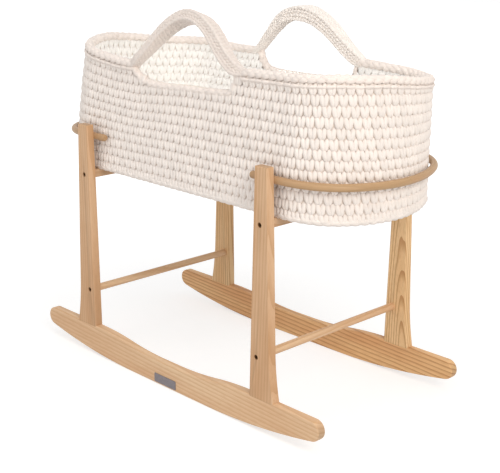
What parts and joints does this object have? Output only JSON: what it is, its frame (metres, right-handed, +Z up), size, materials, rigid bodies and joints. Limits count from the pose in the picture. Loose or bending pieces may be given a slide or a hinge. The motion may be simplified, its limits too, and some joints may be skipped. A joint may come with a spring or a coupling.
{
  "type": "moses basket stand",
  "caption": "Rocking pine stand with curved runners, tapered posts, cross rails, round stretchers and bent end hoops, carrying a lift-out oval crocheted moses basket with soft handles.",
  "frame": {"origin": "on the floor under the middle of the stand", "axes": "+X along the rockers to the right, -Y to the front, +Z up"},
  "size_m": [0.8928, 0.43, 0.789],
  "materials": {
    "pine": "planed pine, clear matt lacquer",
    "hoop_rod": "bent cane rod, satin",
    "steel": "zinc plated",
    "brass": "plain",
    "beech": "plain",
    "cotton": "thick crocheted cotton cord, undyed"
  },
  "bodies": {
    "stand": {"front_rocker": "pine", "rear_rocker": "pine", "front_left_post": "pine", "front_right_post": "pine", "rear_left_post": "pine", "rear_right_post": "pine", "left_rail": "pine", "right_rail": "pine", "left_stretcher": "pine", "right_stretcher": "pine", "left_hoop": "hoop_rod", "right_hoop": "hoop_rod", "post_dowels": "beech", "rail_bolts": "steel", "rail_inserts": "brass", "stretcher_bolts": "steel", "stretcher_inserts": "brass", "hoop_screws": "steel"},
    "basket": {"basket_base": "cotton", "basket_wall": "cotton"},
    "front_handle": {"front_handle": "cotton"},
    "rear_handle": {"rear_handle": "cotton"}
  },
  "joints": [
    {"name": "basket_lift", "type": "slide", "parent": "stand", "child": "basket", "axis": [0, 0, 1], "range_m": [0, 0.25]},
    {"name": "front_handle_swing", "type": "hinge", "parent": "basket", "child": "front_handle", "pos_m": [0, -0.1672, 0.679], "axis": [1, 0, 0], "range_deg": [-15, 100]},
    {"name": "rear_handle_swing", "type": "hinge", "parent": "basket", "child": "rear_handle", "pos_m": [0, 0.1672, 0.679], "axis": [-1, 0, 0], "range_deg": [-35, 80]}
  ]
}
